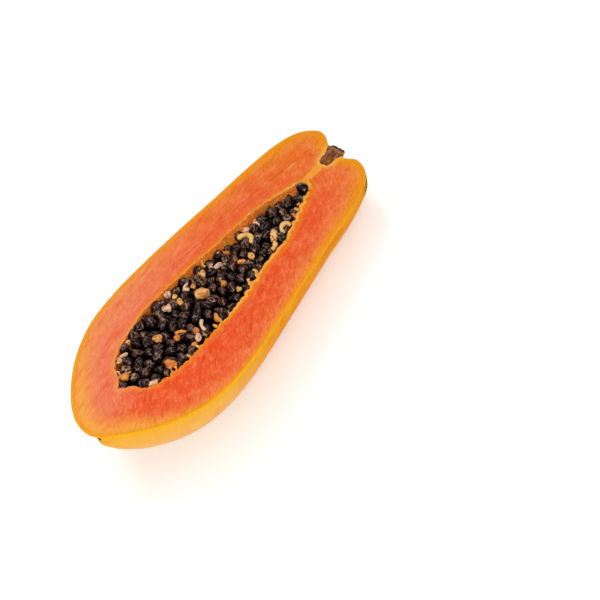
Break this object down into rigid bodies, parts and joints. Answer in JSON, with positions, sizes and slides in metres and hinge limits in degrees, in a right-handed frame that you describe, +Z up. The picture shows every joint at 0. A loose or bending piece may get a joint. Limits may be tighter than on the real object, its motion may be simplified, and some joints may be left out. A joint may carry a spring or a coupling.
{
  "type": "papaya half",
  "caption": "Half of a ripe papaya cut lengthwise, lying on its rounded back with the seeds in its hollow and a stub of stem.",
  "frame": {"origin": "middle of the small flat spot on the rounded back, which the half rests on", "axes": "+Z up, out of the cut side; +X along the fruit towards the stem end; +Y towards the left side seen from the blossom end"},
  "size_m": [0.2413, 0.094, 0.0556],
  "materials": {
    "fruit": "moist orange-red flesh inside a thin waxy yellow skin",
    "seeds": "wet, wrinkled, brown-black",
    "stem": "dry, dark brown bark"
  },
  "bodies": {
    "root": {"fruit_half": "fruit", "seed_mass": "seeds", "stem_stub": "stem"}
  },
  "joints": []
}
